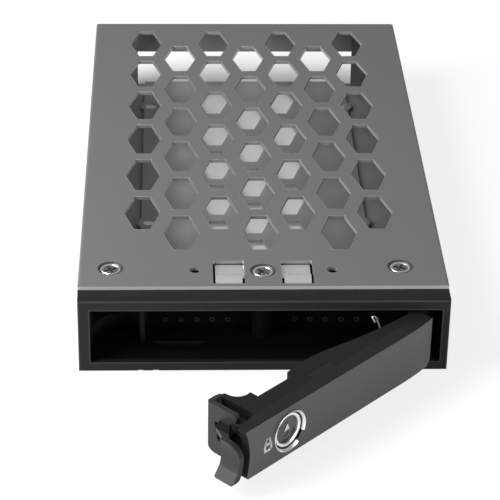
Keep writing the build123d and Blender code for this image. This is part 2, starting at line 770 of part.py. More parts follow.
with BuildPart() as latch_rocker:
    # Lip, its outer corner rounded in plan
    with BuildSketch(handle_plane(handle_low)):
        with BuildLine():
            bend = lip_round * (1 - 1 / sqrt(2))
            Polyline(
                (-catch_left, catch_back - lip_round),
                (-catch_left, catch_back - catch_lip - lip_round),
                (-catch_left + catch_sheet, catch_back - catch_lip - lip_round),
                (-catch_left + catch_sheet, catch_back - catch_lip),
                (-catch_left + lip_reach, catch_back - catch_lip),
                (-catch_left + lip_reach, catch_back),
                (-catch_left + lip_round, catch_back),
            )
            ThreePointArc(
                (-catch_left + lip_round, catch_back),
                (-catch_left + bend, catch_back - bend),
                (-catch_left, catch_back - lip_round),
            )
        make_face()
    extrude(amount=handle_height)
    # Catch plate: an arm to the lower ear, a sloping front edge and a lobe at the top
    with BuildSketch(side_plane(-catch_left)):
        with BuildLine():
            lobe_front = latch_y - lobe_reach
            Polyline(
                (lobe_front + lobe_round, handle_high),
                (catch_back - lip_round, handle_high),
                (catch_back - lip_round, handle_low),
                (latch_y, handle_low),
                (latch_y, handle_low + lower_ear),
                (catch_front, handle_low + lower_ear),
                (catch_front + catch_slope, lobe_low),
            )
            ThreePointArc(
                (catch_front + catch_slope, lobe_low),
                (latch_y / 2, lobe_low + lobe_rise / 2),
                (lobe_front + lobe_round / 2, lobe_low + lobe_rise),
            )
            ThreePointArc(
                (lobe_front + lobe_round / 2, lobe_low + lobe_rise),
                (lobe_front + lobe_round / 4, handle_high - lobe_round / 2),
                (lobe_front + lobe_round, handle_high),
            )
        make_face()
    extrude(amount=catch_sheet)
    # Rounded lower back corner
    with BuildSketch(side_plane(-catch_left - sheet)):
        with BuildLine():
            bulge = catch_round * (1 - 1 / sqrt(2))
            ThreePointArc(
                (catch_back, handle_low + catch_round),
                (catch_back - bulge, handle_low + bulge),
                (catch_back - catch_round, handle_low),
            )
            Polyline(
                (catch_back - catch_round, handle_low),
                (catch_back - catch_round, handle_low - sheet),
                (catch_back + sheet, handle_low - sheet),
                (catch_back + sheet, handle_low + catch_round),
                (catch_back, handle_low + catch_round),
            )
        make_face()
    extrude(amount=lip_reach + 2 * sheet, mode=Mode.SUBTRACT)
    # Two ears on the pin, the upper one with an arm behind the lobe
    with BuildSketch(handle_plane(handle_low)):
        with Locations((latch_x, latch_y)):
            Circle(latch_ear_radius)
    extrude(amount=lower_ear)
    with BuildSketch(handle_plane(handle_high - ear_drop - upper_ear)):
        with Locations((latch_x, latch_y)):
            Circle(latch_ear_radius)
        with Locations((latch_x, (catch_front + latch_y) / 2)):
            Rectangle(arm_width, catch_front - latch_y + 2 * arm_width)
    extrude(amount=upper_ear)
    # Upright web and a flat web, both to the trigger
    trigger_x = -catch_left - trigger_out
    web_x = trigger_x + trigger_sheet / 2
    inner_x = -catch_left + catch_sheet / 4
    with BuildSketch(handle_plane(handle_low)):
        with BuildLine():
            Polyline(
                (web_x, trigger_rear),
                (web_x, trigger_rear - web_sheet),
                (trigger_x + trigger_sheet + catch_sheet / 4, trigger_rear - web_sheet),
                (-catch_left - 0.9 * web_sheet, trigger_rear + 0.9 * web_sheet),
                (-catch_left - catch_sheet / 3, latch_y + latch_ear_radius),
                (inner_x, latch_y + latch_ear_radius + lug_clearance),
                (inner_x, latch_y + latch_ear_radius + web_sheet),
                (-catch_left - 0.8 * web_sheet, latch_y + 2 * web_sheet),
                close=True,
            )
        make_face()
    extrude(amount=trigger_height)
    with BuildSketch(handle_plane(handle_low + trigger_height - web_sheet)):
        with BuildLine():
            Polyline(
                (web_x, trigger_rear),
                (trigger_x + catch_overhang / 2, trigger_rear + 2.0),
                (trigger_x + 0.75 * catch_overhang, trigger_rear + 4.4),
                (inner_x, trigger_rear + trigger_out - lug_clearance),
                (inner_x, latch_y + latch_ear_radius + lug_clearance),
                (-catch_left - 0.9 * web_sheet, trigger_rear + 0.9 * web_sheet),
                (trigger_x + trigger_sheet + catch_sheet / 4, trigger_rear - web_sheet),
                close=True,
            )
        make_face()
    extrude(amount=web_sheet)
    # Trigger plate, hollowed for the fingertip and flared at its foot
    with BuildSketch(front_plane(0, trigger_rear, handle_low)):
        with BuildLine():
            tip_x = trigger_x - 0.8 * trigger_flare
            inner_face = trigger_x + trigger_sheet
            ThreePointArc(
                (trigger_x, trigger_height),
                (trigger_x + trigger_waist, 0.65 * trigger_height),
                (trigger_x, 0.3 * trigger_height),
            )
            ThreePointArc(
                (trigger_x, 0.3 * trigger_height),
                (trigger_x - 0.6 * trigger_flare, 0.17 * trigger_height),
                (trigger_x - trigger_flare, 0.08 * trigger_height),
            )
            Line((trigger_x - trigger_flare, 0.08 * trigger_height), (tip_x, 0))
            ThreePointArc(
                (tip_x, 0),
                (trigger_x + trigger_sheet / 2, 0.12 * trigger_height),
                (inner_face, 0.35 * trigger_height),
            )
            ThreePointArc(
                (inner_face, 0.35 * trigger_height),
                (inner_face + trigger_waist, 0.67 * trigger_height),
                (inner_face, trigger_height),
            )
            Line((inner_face, trigger_height), (trigger_x, trigger_height))
        make_face()
    extrude(amount=trigger_rear - trigger_front)
    # Its rounded upper and lower front corners
    for corner, height, way in (
        (trigger_round, handle_low + trigger_height, 1),
        (trigger_round / 3, handle_low, -1),
    ):
        with BuildSketch(side_plane(trigger_x - 2 * trigger_flare)):
            with BuildLine():
                bulge = corner * (1 - 1 / sqrt(2))
                ThreePointArc(
                    (trigger_front, height - way * corner),
                    (trigger_front + bulge, height - way * bulge),
                    (trigger_front + corner, height),
                )
                Polyline(
                    (trigger_front + corner, height),
                    (trigger_front + corner, height + way * sheet),
                    (trigger_front - sheet, height + way * sheet),
                    (trigger_front - sheet, height - way * corner),
                    (trigger_front, height - way * corner),
                )
            make_face()
        extrude(amount=4 * trigger_flare, mode=Mode.SUBTRACT)
    with BuildSketch(handle_plane(handle_low)):
        with Locations((latch_x, latch_y)):
            Circle(latch_pin_radius + pin_gap)
    extrude(amount=handle_height - ear_drop - ear_cap, mode=Mode.SUBTRACT)
latch_rocker.part.label = "latch_rocker"
export_step(latch_rocker.part, "parts/latch_rocker.step")
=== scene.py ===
"""Looks of the drive carrier: finishes on the solid frame, fine hardware, and a studio."""

from math import cos, pi, radians, sin

import bmesh
import bpy
from bpy.props import FloatProperty, FloatVectorProperty, IntProperty, PointerProperty
from bpy.types import Operator, Panel, PropertyGroup
from mathutils import Matrix, Vector


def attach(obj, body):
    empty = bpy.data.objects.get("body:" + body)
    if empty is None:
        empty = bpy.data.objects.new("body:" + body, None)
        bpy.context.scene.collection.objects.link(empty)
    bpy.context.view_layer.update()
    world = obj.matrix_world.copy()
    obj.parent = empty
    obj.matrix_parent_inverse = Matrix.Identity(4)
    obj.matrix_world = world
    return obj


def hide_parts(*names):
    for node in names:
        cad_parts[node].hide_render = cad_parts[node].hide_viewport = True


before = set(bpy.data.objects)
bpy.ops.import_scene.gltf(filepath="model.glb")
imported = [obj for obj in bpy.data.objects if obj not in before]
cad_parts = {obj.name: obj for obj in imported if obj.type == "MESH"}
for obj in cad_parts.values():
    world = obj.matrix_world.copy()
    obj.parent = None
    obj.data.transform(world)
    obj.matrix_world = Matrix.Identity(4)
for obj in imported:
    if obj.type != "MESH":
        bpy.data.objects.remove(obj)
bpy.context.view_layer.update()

bl_info = {
    "name": "Drive carrier looks",
    "version": (1, 0, 0),
    "blender": (4, 5, 0),
    "location": "3D View > Sidebar > Drive carrier",
    "description": "Finishes, fine hardware and a studio for the drive carrier",
    "category": "Object",
}

MM = 0.001

# Sheets and their holes, in millimetres on the part's own frame
SHEET = 1.0
TRAY_GAP = 0.1
MASK_MARGIN = 0.05
PLATE_TOP = 20.4
PLATE_UNDER = PLATE_TOP - SHEET
FLOOR = -2.0
FRONT = -108.2
REAR = 58.3
HALF_WIDTH = 48.7
LIP_INNER = HALF_WIDTH - SHEET + MASK_MARGIN
REAR_INNER = REAR - SHEET + MASK_MARGIN
WALL_OUTER = HALF_WIDTH - SHEET - TRAY_GAP
DRIVE_HOLES = [(x * 30.86, y * 38.3) for y in (-1, 1) for x in (-1, 1)]
HEX_COLUMN = 10.73
HEX_SIDE_COLUMNS = 3
HEX_ROW = 22.2
HEX_ROWS = 6
HEX_FIRST = 39.3
HEX_WIDTH = 9.95
HEX_LENGTH = 18.4
HEX_FLAT = 4.3

# Cover screws, as distances from the middle and from the front edge
SCREWS = ((-40.2, 9.4), (0.0, 8.0), (36.5, 9.9))
SCREW_ZONE = 14.0
SCREW_ZONE_SIDE = 45.0
HEAD_TOP = PLATE_TOP - 0.2
HEAD_DISH = 0.22

# Bezel and its recess
BEZEL_FACE = FRONT - 6.0
RECESS_LOW = 0.8
RECESS_HIGH = 16.6
RECESS_LEFT = -45.4
RECESS_RIGHT = 46.4
RECESS_START = BEZEL_FACE + 0.8
KEEPER_RIGHT = -30.5
VENT_FIRST = 9.0
VENT_STEP = 4.2
VENTS_A_SIDE = 5
VENT_WALL = FRONT + 12.0
VENT_HEIGHT = RECESS_LOW + 1.8

# Handle: its hinge and height on the frame, and places in its own axes, along it and inwards
HINGE = Vector((42.6, -103.2, 0.0))
TURN = radians(45.0)
HANDLE_MID = (RECESS_LOW + RECESS_HIGH) / 2
FACE = -11.0
LOCK_X = -64.8
MARK_X = -72.4
MARK_DROP = 0.6
MARK_SCALE = 1.08
LATCH_PIN = Vector((-75.9, -4.6, 0.0))
LATCH_WEB = (-80.4, -77.45, -5.6, 1.2)
LIP_LOW = 2.6
LIP_HIGH = 15.75
LATCH_ANGLE = 50.0
RING_GAP_AT = -39.5
RING_GAP = 33.0

# Camera of the photograph: degrees, millimetres of lens and place on the frame
PITCH = 30.2610
YAW = 2.3322
ROLL = 1.0139
LENS = 152.68
SENSOR = 36.0
CAMERA_PLACE = Vector((-23.07, -580.45, 307.09))

# Studio: greys of the paper, with a painted shadow grey for below the part, and how white the
# camera sees it
WHITE = (1.0, 1.0, 1.0, 1.0)
PAPER = (0.88, 0.88, 0.88)
PAPER_SHADOW = (0.5, 0.5, 0.5, 1.0)
PAPER_GLOW = 0.78
GLOW_LOST_IN_SHADOW = 0.62
PAPER_IN_GLOSS = 0.5
PAPER_DROP = 0.05

# Painted shadow on the paper below and behind the part, between these places at its sides, its
# front and its rear, in metres
SHADOW_SIDE = (0.034, 0.047)
SHADOW_FRONT = (-0.110, -0.100)
SHADOW_REAR = (0.056, 0.097)


# Sizes and colours that a user would change


class SheetLooks(PropertyGroup):
    """Coated sheet metal of the sleeve and the tray."""

    cover_colour: FloatVectorProperty(
        name="Cover",
        description="Grey of the top cover",
        subtype="COLOR",
        size=3,
        min=0.0,
        max=1.0,
        default=(0.129, 0.129, 0.132),
    )
    tray_colour: FloatVectorProperty(
        name="Tray",
        description="Grey of the inner tray",
        subtype="COLOR",
        size=3,
        min=0.0,
        max=1.0,
        default=(0.26, 0.26, 0.265),
    )
    edge_colour: FloatVectorProperty(
        name="Cut edge",
        description="Bare metal where the sheet was cut",
        subtype="COLOR",
        size=3,
        min=0.0,
        max=1.0,
        default=(0.58, 0.58, 0.58),
    )
    grain: FloatProperty(
        name="Grain",
        description="Size of the coating's grain",
        subtype="DISTANCE",
        unit="LENGTH",
        default=0.00035,
        min=0.0001,
        max=0.005,
        precision=5,
    )


class PlasticLooks(PropertyGroup):
    """Moulded plastic of the bezel and the handle."""

    bezel_colour: FloatVectorProperty(
        name="Bezel",
        description="Black of the bezel",
        subtype="COLOR",
        size=3,
        min=0.0,
        max=1.0,
        default=(0.0085, 0.0085, 0.0088),
    )
    # the latch takes this black with painted light, 3.1 times lighter
    handle_colour: FloatVectorProperty(
        name="Handle",
        description="Black of the lever and the latch",
        subtype="COLOR",
        size=3,
        min=0.0,
        max=1.0,
        default=(0.0055, 0.0055, 0.0058),
    )
    # painted light: the handle's front is the same black plastic, shown greyer where it faces the
    # light
    fascia_lit_colour: FloatVectorProperty(
        name="Fascia",
        description="Charcoal of the handle's front",
        subtype="COLOR",
        size=3,
        min=0.0,
        max=1.0,
        default=(0.046, 0.046, 0.048),
    )
    mark_colour: FloatVectorProperty(
        name="Printed mark",
        description="Pale ink of the padlock mark",
        subtype="COLOR",
        size=3,
        min=0.0,
        max=1.0,
        default=(0.42, 0.42, 0.42),
    )


class HardwareLooks(PropertyGroup):
    """Screws, springs and the lock."""

    screw_colour: FloatVectorProperty(
        name="Screws",
        description="Plated steel of the screws",
        subtype="COLOR",
        size=3,
        min=0.0,
        max=1.0,
        default=(0.62, 0.61, 0.60),
    )
    spring_colour: FloatVectorProperty(
        name="Springs",
        description="Bright rolled spring steel",
        subtype="COLOR",
        size=3,
        min=0.0,
        max=1.0,
        default=(0.86, 0.86, 0.85),
    )
    chrome_colour: FloatVectorProperty(
        name="Chrome",
        description="Plating of the lock",
        subtype="COLOR",
        size=3,
        min=0.0,
        max=1.0,
        default=(0.80, 0.80, 0.81),
    )
    recess_depth: FloatProperty(
        name="Recess depth",
        description="Depth of the cross recess in each screw head",
        subtype="DISTANCE",
        unit="LENGTH",
        default=0.0011,
        min=0.0002,
        max=0.002,
        precision=5,
    )
    coil_turns: IntProperty(
        name="Coil turns",
        description="Turns of the hinge spring",
        default=6,
        min=2,
        max=12,
    )


class StudioLooks(PropertyGroup):
    """Lights of the studio."""

    key_power: FloatProperty(
        name="Key light",
        description="Power of the light that faces the open handle",
        subtype="POWER",
        unit="POWER",
        default=5.0,
        min=0.0,
        max=100.0,
    )
    side_power: FloatProperty(
        name="Side light",
        description="Power of the light that grazes the latch from the left",
        subtype="POWER",
        unit="POWER",
        default=6.0,
        min=0.0,
        max=100.0,
    )
    top_power: FloatProperty(
        name="Top light",
        description="Power of the light overhead",
        subtype="POWER",
        unit="POWER",
        default=3.0,
        min=0.0,
        max=100.0,
    )
    sky_level: FloatProperty(
        name="Room light",
        description="Brightness of the even light from all round",
        subtype="FACTOR",
        default=0.34,
        min=0.0,
        max=1.0,
    )


# Shader maths


class Term:
    """A socket's value in an expression: its operators add Math nodes."""

    def __init__(self, graph, socket):
        self.graph = graph
        self.socket = socket

    def _math(self, operation, *values, clamp=False):
        settings = {"operation": operation, "use_clamp": clamp}
        return self.graph.term(self.graph.node("ShaderNodeMath", settings, dict(enumerate(values))))

    def __add__(self, other):
        return self._math("ADD", self, other)

    __radd__ = __add__

    def __sub__(self, other):
        return self._math("SUBTRACT", self, other)

    def __rsub__(self, other):
        return self._math("SUBTRACT", other, self)

    def __mul__(self, other):
        return self._math("MULTIPLY", self, other)

    __rmul__ = __mul__

    def __truediv__(self, other):
        return self._math("DIVIDE", self, other)

    def __rtruediv__(self, other):
        return self._math("DIVIDE", other, self)

    def size(self):
        """The value without its sign."""
        return self._math("ABSOLUTE", self)

    def held(self):
        """The value held between 0 and 1."""
        return self._math("ADD", self, 0.0, clamp=True)

    def most(self, other):
        """The larger of two values."""
        return self._math("MAXIMUM", self, other)

    def rise(self, low, high):
        """Smooth rise from 0 at low to 1 at high."""
        node = self.graph.node(
            "ShaderNodeMapRange",
            {"interpolation_type": "SMOOTHSTEP"},
            {"Value": self, "From Min": low, "From Max": high},
        )
        return self.graph.term(node)

    def fall(self, low, high):
        """Smooth fall from 1 at low to 0 at high."""
        return 1 - self.rise(low, high)


class Graph:
    """A node tree whose nodes all come from one method."""

    def __init__(self, tree):
        self.tree = tree
        self.tree.nodes.clear()

    def node(self, kind, settings=None, values=None):
        """A node of that type: its settings first, then the values or links of its sockets."""
        node = self.tree.nodes.new(kind)
        for name, value in (settings or {}).items():
            setattr(node, name, value)
        for name, value in (values or {}).items():
            if isinstance(value, Term):
                self.tree.links.new(value.socket, node.inputs[name])
            else:
                node.inputs[name].default_value = value
        return node

    def term(self, node, output=0):
        """An output of a node as a term."""
        return Term(self, node.outputs[output])


class Finish(Graph):
    """One material: its Principled shader and the nodes that feed it."""

    def __init__(self, name, colour, **constants):
        self.material = bpy.data.materials.new(name)
        self.material.use_nodes = True
        self.material.diffuse_color = (*colour, 1.0)
        super().__init__(self.material.node_tree)
        self.colour = colour
        values = {socket.replace("_", " "): value for socket, value in constants.items()}
        values["Base Color"] = (*colour, 1.0)
        self.shader = self.node("ShaderNodeBsdfPrincipled", {}, values)
        surface = {"Surface": self.term(self.shader)}
        self.output = self.node("ShaderNodeOutputMaterial", {}, surface)

    def place(self):
        """Position on the part, in metres, as a vector term."""
        return self.term(self.node("ShaderNodeTexCoord"), "Object")

    def axes(self, vector):
        """The three parts of a vector term."""
        node = self.node("ShaderNodeSeparateXYZ", {}, {0: vector})
        return [self.term(node, i) for i in range(3)]

    def spot(self):
        """Position on the part, in metres, as terms for x, y and z."""
        return self.axes(self.place())

    def facing(self):
        """Surface direction on the part as terms for x, y and z."""
        return self.axes(self.term(self.node("ShaderNodeTexCoord"), "Normal"))

    def noise(self, vector, scale, detail=2.0, roughness=0.5):
        """Cloudy noise round a middle of 0.5, with so many lumps in a metre."""
        node = self.node(
            "ShaderNodeTexNoise",
            {},
            {"Vector": vector, "Scale": scale, "Detail": detail, "Roughness": roughness},
        )
        return self.term(node)

    def mixed(self, factor, first, second):
        """Colour from first to second as factor goes from 0 to 1."""
        node = self.node(
            "ShaderNodeMix", {"data_type": "RGBA"}, {0: factor, 6: first, 7: second}
        )
        return self.term(node, 2)

    def feed(self, socket, term):
        """Links a term to a socket of the shader."""
        self.tree.links.new(term.socket, self.shader.inputs[socket])

    def bump(self, height, distance, strength):
        """Raises the surface a little where a term is high."""
        node = self.node(
            "ShaderNodeBump", {}, {"Strength": strength, "Distance": distance, "Height": height}
        )
        self.feed("Normal", self.term(node))


def shade(colour, factor):
    """A colour made lighter or darker, with the alpha a socket wants."""
    return (*(min(1.0, c * factor) for c in colour), 1.0)


class CoatedSheet(Finish):
    """Satin coating on sheet steel."""

    def __init__(self, name, colour, grain):
        super().__init__(name, colour, Metallic=0.35, Roughness=0.42, Specular_IOR_Level=0.5)
        place = self.place()
        self.x, self.y, self.z = self.axes(place)
        self.lean = self.facing()[2].size()
        self.speck = self.noise(place, 1.0 / grain, 3.0, 0.6)
        cloud = self.noise(place, 22.0)
        self.tone = ((self.speck - 0.5) * 0.30 + (cloud - 0.5) * 0.14 + 0.5).held()
        self.coat = self.mottled(1.0)

    def mottled(self, part):
        """The coating's colour times a part, with its grain."""
        darker, lighter = 0.86 * part, 1.14 * part
        return self.mixed(self.tone, shade(self.colour, darker), shade(self.colour, lighter))

    def paint_light_inside(self, left, right, outer):
        """Paints light and shade inside the tray: lighter towards the left and darker towards the
        right, as light falls there; the outer faces keep a darker grey, like the cover's.
        """
        across = ((self.x / MM + LIP_INNER) / (2 * LIP_INNER)).held()
        self.coat = self.mixed(across, self.mottled(left), self.mottled(right))
        outside = self.x.size().rise((WALL_OUTER - 0.3) * MM, (WALL_OUTER - 0.1) * MM)
        self.coat = self.mixed(outside, self.coat, self.mottled(outer))

    def paint_light_on_lips(self, factor):
        """Paints light on the lips' inner faces below the plate, making them brighter than the
        shade they lie in.
        """
        below = self.z.fall((PLATE_UNDER - 0.2) * MM, (PLATE_UNDER - 0.1) * MM)
        between = self.x.size().fall(LIP_INNER * MM, (LIP_INNER + 0.2) * MM)
        before = self.y.fall(REAR_INNER * MM, (REAR_INNER + 0.2) * MM)
        self.coat = self.mixed(below * between * before, self.coat, shade(self.colour, factor))

    def cut_edges(self, edge, low, high, level):
        """Bares the cut edges between two heights: bright in front, and with painted shade on them
        in the punched holes.
        """
        soft = 0.02
        upright = self.lean.fall(0.25, 0.5)
        band = self.z.rise((low - soft) * MM, (low + soft) * MM)
        band = band * self.z.fall((high - soft) * MM, (high + soft) * MM)
        cut = upright * band
        ahead = self.y.fall((FRONT + 0.3) * MM, (FRONT + 0.6) * MM)
        # painted shade: the cut walls of the holes get 0.45 of the bare edge's brightness
        bare = self.mixed(ahead, shade(edge, 0.45), shade(edge, 1.0))
        self.coat = self.mixed(cut, self.coat, bare)
        coated = level + (self.speck - 0.5) * 0.12
        self.feed("Roughness", coated * (1 - cut) + cut * 0.3)
        self.feed("Metallic", 0.35 + cut * 0.15)

    def paint_shade_in_dishes(self, factor):
        """Paints shade in the dish round each screw head."""
        slope = self.lean.rise(0.3, 0.4) * self.lean.fall(0.99, 0.998)
        slope = slope * self.y.fall((FRONT + SCREW_ZONE) * MM, (FRONT + SCREW_ZONE + 0.2) * MM)
        slope = slope * self.x.size().fall(SCREW_ZONE_SIDE * MM, (SCREW_ZONE_SIDE + 0.2) * MM)
        self.coat = self.mixed(slope, self.coat, shade(self.colour, factor))

    def done(self):
        """The finished material."""
        self.feed("Base Color", self.coat)
        self.bump(self.speck, 0.00002, 0.35)
        return self.material


class MouldedPlastic(Finish):
    """Black moulded plastic with an eroded texture and slightly polished high spots."""

    def __init__(self, name, colour, roughness, texture, shine=0.2):
        super().__init__(name, colour, Roughness=roughness, Specular_IOR_Level=shine)
        place = self.place()
        self.pits = self.noise(place, 1.0 / texture, 4.0, 0.6)
        self.dust = self.noise(place, 60.0, 3.0, 0.6)
        self.tone = ((self.pits - 0.5) * 0.8 + (self.dust - 0.5) * 0.5 + 0.5).held()
        self.coat = self.mixed(self.tone, shade(colour, 0.8), shade(colour, 1.25))
        self.gloss = roughness + (self.pits - 0.5) * 0.14 + (self.dust - 0.5) * 0.10

    def paint_shade_patch(self, mask, colour, rougher):
        """Paints shade, as another colour, on part of the surface and roughens it there."""
        self.coat = self.mixed(mask, self.coat, colour)
        self.gloss = self.gloss + mask * rougher

    def paint_light_on_front(self, colour):
        """Paints light on the handle's front, which faces the light and so shows greyer than its
        moulded sides.
        """
        nx, ny = self.facing()[:2]
        ahead = (nx * sin(TURN) - ny * cos(TURN)).rise(0.55, 0.8)
        lit_grey = self.mixed(self.tone, shade(colour, 0.9), shade(colour, 1.12))
        self.coat = self.mixed(ahead, self.coat, lit_grey)

    def paint_shade_on_end(self):
        """Paints shade on the faces between the handle's end and the latch, dark and dull."""
        nx, ny = self.facing()[:2]
        hidden = (0 - nx * cos(TURN) - ny * sin(TURN)).rise(0.75, 0.9)
        self.paint_shade_patch(hidden, shade(self.colour, 0.1), 0.35)

    def paint_shade_on_web(self):
        """Paints shade on the latch's web, between its catch plate and its trigger, dark and dull.
        """
        x, y = self.spot()[:2]
        x = x - HINGE.x * MM
        y = y - HINGE.y * MM
        along = x * cos(TURN) + y * sin(TURN)
        inward = y * cos(TURN) - x * sin(TURN)
        left, right, front, back = (v * MM for v in LATCH_WEB)
        web = along.rise(left, left + 0.3 * MM) * along.fall(right, right + 0.1 * MM)
        web = web * inward.rise(front, front + 0.3 * MM) * inward.fall(back, back + 0.1 * MM)
        self.paint_shade_patch(web, shade(self.colour, 0.15), 0.35)

    def paint_shade_in_recess(self):
        """Paints deep matt shade in the recess, a little paler in its left pocket."""
        x, y, z = self.spot()
        inside = y.rise(RECESS_START * MM, (RECESS_START + 1.0) * MM)
        inside = inside * z.rise((RECESS_LOW - 0.02) * MM, (RECESS_LOW - 0.01) * MM)
        inside = inside * z.fall((RECESS_HIGH + 0.01) * MM, (RECESS_HIGH + 0.02) * MM)
        pocket = x.fall((KEEPER_RIGHT - 0.1) * MM, (KEEPER_RIGHT + 0.1) * MM)
        pocket = pocket * z.rise((RECESS_LOW + 0.4) * MM, (RECESS_LOW + 3.0) * MM)
        deep = self.mixed(pocket, shade(self.colour, 0.1), shade(self.colour, 0.9))
        self.paint_shade_patch(inside, deep, 0.4)

    def paint_highlights_on_bezel(self):
        """Paints highlights on the bezel's outer corners and round the mouth of its recess, and
        faint light over its front face.
        """
        nx, ny, nz = self.facing()
        x, y, z = self.spot()
        bent = (ny * nz).size().most((nx * ny).size()).rise(0.2, 0.42)
        bent = bent * y.fall((BEZEL_FACE + 1.0) * MM, (BEZEL_FACE + 1.1) * MM)
        middle, half_width = (RECESS_LEFT + RECESS_RIGHT) / 2, (RECESS_RIGHT - RECESS_LEFT) / 2
        half_height = (RECESS_HIGH - RECESS_LOW) / 2
        across = (x - middle * MM).size() - half_width * MM
        upward = (z - HANDLE_MID * MM).size() - half_height * MM
        mouth = across.most(upward).fall(0.22 * MM, 0.42 * MM)
        ahead = y.fall((BEZEL_FACE + 0.05) * MM, (BEZEL_FACE + 0.1) * MM)
        ahead = ahead * (0 - ny).rise(0.8, 0.95)
        # painted highlight: nine times the black on corners and mouth, a little over the front
        # face, broken up by the dust noise
        painted_light = (bent * 0.25).most(ahead * (mouth * 0.24 + 0.045)) * (self.dust * 0.6 + 0.7)
        self.coat = self.mixed(painted_light.held(), self.coat, shade(self.colour, 9.0))

    def done(self):
        """The finished material."""
        self.feed("Base Color", self.coat)
        self.feed("Roughness", self.gloss)
        self.bump(self.pits, 0.00003, 0.5)
        return self.material


def plated_metal(name, colour, roughness, scratch=0.06, metal=1.0, head=False):
    """Bright metal with fine scratches; a screw head gets painted shade in its dish and a painted
    highlight on its rim.
    """
    finish = Finish(name, colour, Metallic=metal, Roughness=roughness)
    place = finish.place()
    lines = finish.noise(place, 2600.0, 3.0, 0.55)
    film = finish.noise(place, 180.0)
    if head:
        height = finish.axes(place)[2]
        # painted shade in the head's dish, and a painted highlight on its raised rim
        raised = height.rise((HEAD_TOP - 0.18) * MM, (HEAD_TOP - 0.02) * MM)
        body = finish.mixed(raised, shade(colour, 0.6), shade(colour, 1.5))
    else:
        tone = (film * 0.6 + lines * 0.4).held()
        body = finish.mixed(tone, shade(colour, 0.9), shade(colour, 1.06))
    finish.feed("Base Color", body)
    finish.feed("Roughness", roughness + (lines - 0.5) * scratch + (film - 0.5) * 0.08)
    finish.bump(lines, 0.000008, 0.4)
    return finish.material


# Building pieces


def in_handle(x, y, z):
    """A point given in the handle's own axes, in millimetres, as metres on the frame."""
    along = HINGE.x + x * cos(TURN) - y * sin(TURN)
    deep = HINGE.y + x * sin(TURN) + y * cos(TURN)
    return Vector((along, deep, z)) * MM


def handle_face(x, y, z):
    """Frame of axes on the handle at a point: x along it, y up, z out of its face."""
    along = Vector((cos(TURN), sin(TURN), 0.0))
    out = Vector((sin(TURN), -cos(TURN), 0.0))
    up = Vector((0.0, 0.0, 1.0))
    grid = Matrix((along, up, out)).transposed().to_4x4()
    grid.translation = in_handle(x, y, z)
    return grid


def new_piece(name, mesh, material, body, smooth_angle=35.0):
    """A shown piece that rides on a body, shaded smooth except at sharp edges."""
    piece = bpy.data.objects.new(name, mesh)
    bpy.context.scene.collection.objects.link(piece)
    mesh.materials.clear()
    mesh.materials.append(material)
    mesh.shade_smooth()
    mesh.set_sharp_from_angle(angle=radians(smooth_angle))
    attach(piece, body)
    return piece


def turned(name, outline, steps=96, place=Matrix(), start=0.0, sweep=360.0):
    """Mesh turned about local z from an outline of (radius, height) pairs in millimetres."""
    mesh = bpy.data.meshes.new(name)
    build = bmesh.new()
    whole = abs(sweep - 360.0) < 1e-6
    count = steps if whole else steps + 1
    rings = []
    for i in range(count):
        angle = radians(start + sweep * i / steps)
        ring = []
        for radius, height in outline:
            point = Vector((radius * cos(angle), radius * sin(angle), height)) * MM
            ring.append(build.verts.new(place @ point))
        rings.append(ring)
    size = len(outline)
    for i in range(steps):
        here = rings[i]
        there = rings[(i + 1) % count]
        for j in range(size):
            k = (j + 1) % size
            build.faces.new((here[j], there[j], there[k], here[k]))
    if not whole:
        build.faces.new(list(reversed(rings[0])))
        build.faces.new(rings[-1])
    bmesh.ops.remove_doubles(build, verts=build.verts, dist=1e-7)
    bmesh.ops.recalc_face_normals(build, faces=build.faces)
    build.to_mesh(mesh)
    build.free()
    return mesh


def prism(name, outline, low, high, place=Matrix(), bevel=0.0):
    """Solid between two heights on an outline, in millimetres, with softened edges."""
    mesh = bpy.data.meshes.new(name)
    build = bmesh.new()
    base = [build.verts.new((x, y, low)) for x, y in outline]
    face = build.faces.new(base)
    body = bmesh.ops.extrude_face_region(build, geom=[face])
    raised = [v for v in body["geom"] if isinstance(v, bmesh.types.BMVert)]
    bmesh.ops.translate(build, verts=raised, vec=(0.0, 0.0, high - low))
    bmesh.ops.recalc_face_normals(build, faces=build.faces)
    if bevel:
        bmesh.ops.bevel(
            build,
            geom=list(build.edges),
            offset=bevel,
            segments=2,
            profile=0.5,
            affect="EDGES",
            clamp_overlap=True,
        )
    bmesh.ops.transform(build, matrix=place @ Matrix.Scale(MM, 4), verts=build.verts)
    build.to_mesh(mesh)
    build.free()
    return mesh


def cut_with(piece, cutter):
    """Takes one mesh out of another and drops the cutter."""
    cutter_object = bpy.data.objects.new("cutter", cutter)
    bpy.context.scene.collection.objects.link(cutter_object)
    trim = piece.modifiers.new("recess", "BOOLEAN")
    trim.operation = "DIFFERENCE"
    trim.solver = "EXACT"
    trim.object = cutter_object
    depsgraph = bpy.context.evaluated_depsgraph_get()
    cut = bpy.data.meshes.new_from_object(piece.evaluated_get(depsgraph))
    piece.modifiers.remove(trim)
    piece.data = cut
    bpy.data.objects.remove(cutter_object)


def paint(node, material, smooth_angle=30.0):
    """Gives a solid of the frame its finish."""
    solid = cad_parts[node]
    solid.data.materials.clear()
    solid.data.materials.append(material)
    solid.data.shade_smooth()
    solid.data.set_sharp_from_angle(angle=radians(smooth_angle))


def wire_along(name, points, radius, material, body):
    """Round wire along a row of points, in metres, turned into a mesh."""
    curve = bpy.data.curves.new(name, "CURVE")
    curve.dimensions = "3D"
    curve.bevel_depth = radius
    curve.bevel_resolution = 4
    curve.use_fill_caps = True
    line = curve.splines.new("POLY")
    line.points.add(len(points) - 1)
    for spot, point in zip(line.points, points):
        spot.co = (*point, 1.0)
    holder = bpy.data.objects.new(name + "_line", curve)
    bpy.context.scene.collection.objects.link(holder)
    depsgraph = bpy.context.evaluated_depsgraph_get()
    mesh = bpy.data.meshes.new_from_object(holder.evaluated_get(depsgraph))
    bpy.data.objects.remove(holder)
    return new_piece(name, mesh, material, body, 60.0)


# Operators


